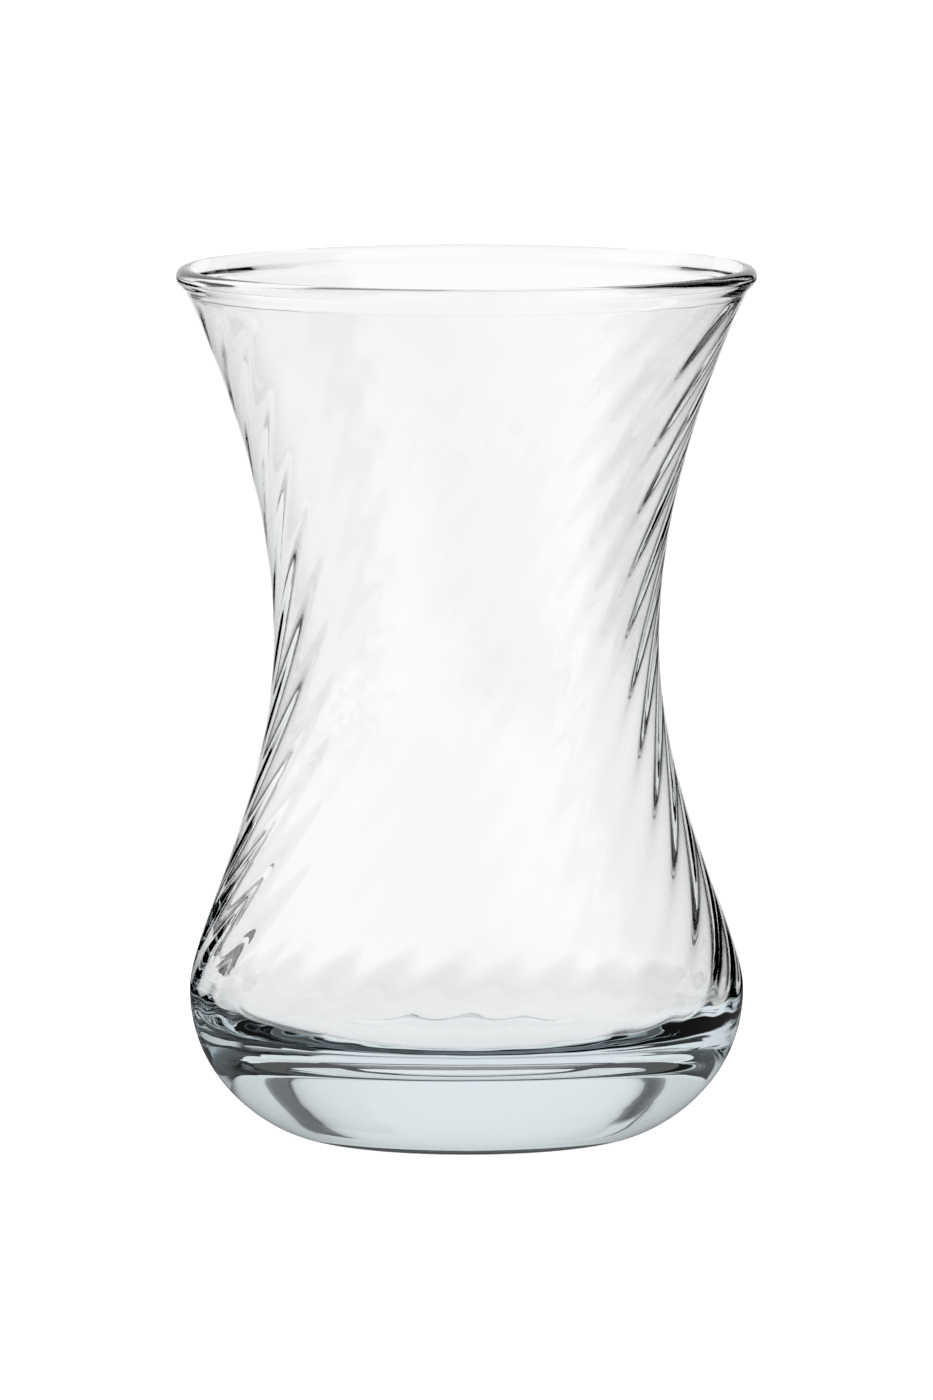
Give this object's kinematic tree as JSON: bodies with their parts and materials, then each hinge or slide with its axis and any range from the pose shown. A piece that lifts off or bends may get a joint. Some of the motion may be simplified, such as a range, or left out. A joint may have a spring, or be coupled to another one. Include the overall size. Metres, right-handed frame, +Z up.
{
  "type": "tea glass",
  "caption": "Clear waisted tea glass with a flared rounded lip, a bulbous foot with a thick solid floor, and fine ribs that twist up the inside of its wall.",
  "frame": {"origin": "centre of the foot, on the plane that the glass stands on", "axes": "+Z up along the axis of the glass, from the foot to the lip; the view in the picture looks along +Y with +X to the right"},
  "size_m": [0.06, 0.06, 0.09],
  "materials": {
    "clear_glass": "clear and smooth, fire-polished, with a faint blue-green tint where the glass is thick"
  },
  "bodies": {
    "root": {"tea_glass": "clear_glass"}
  },
  "joints": []
}
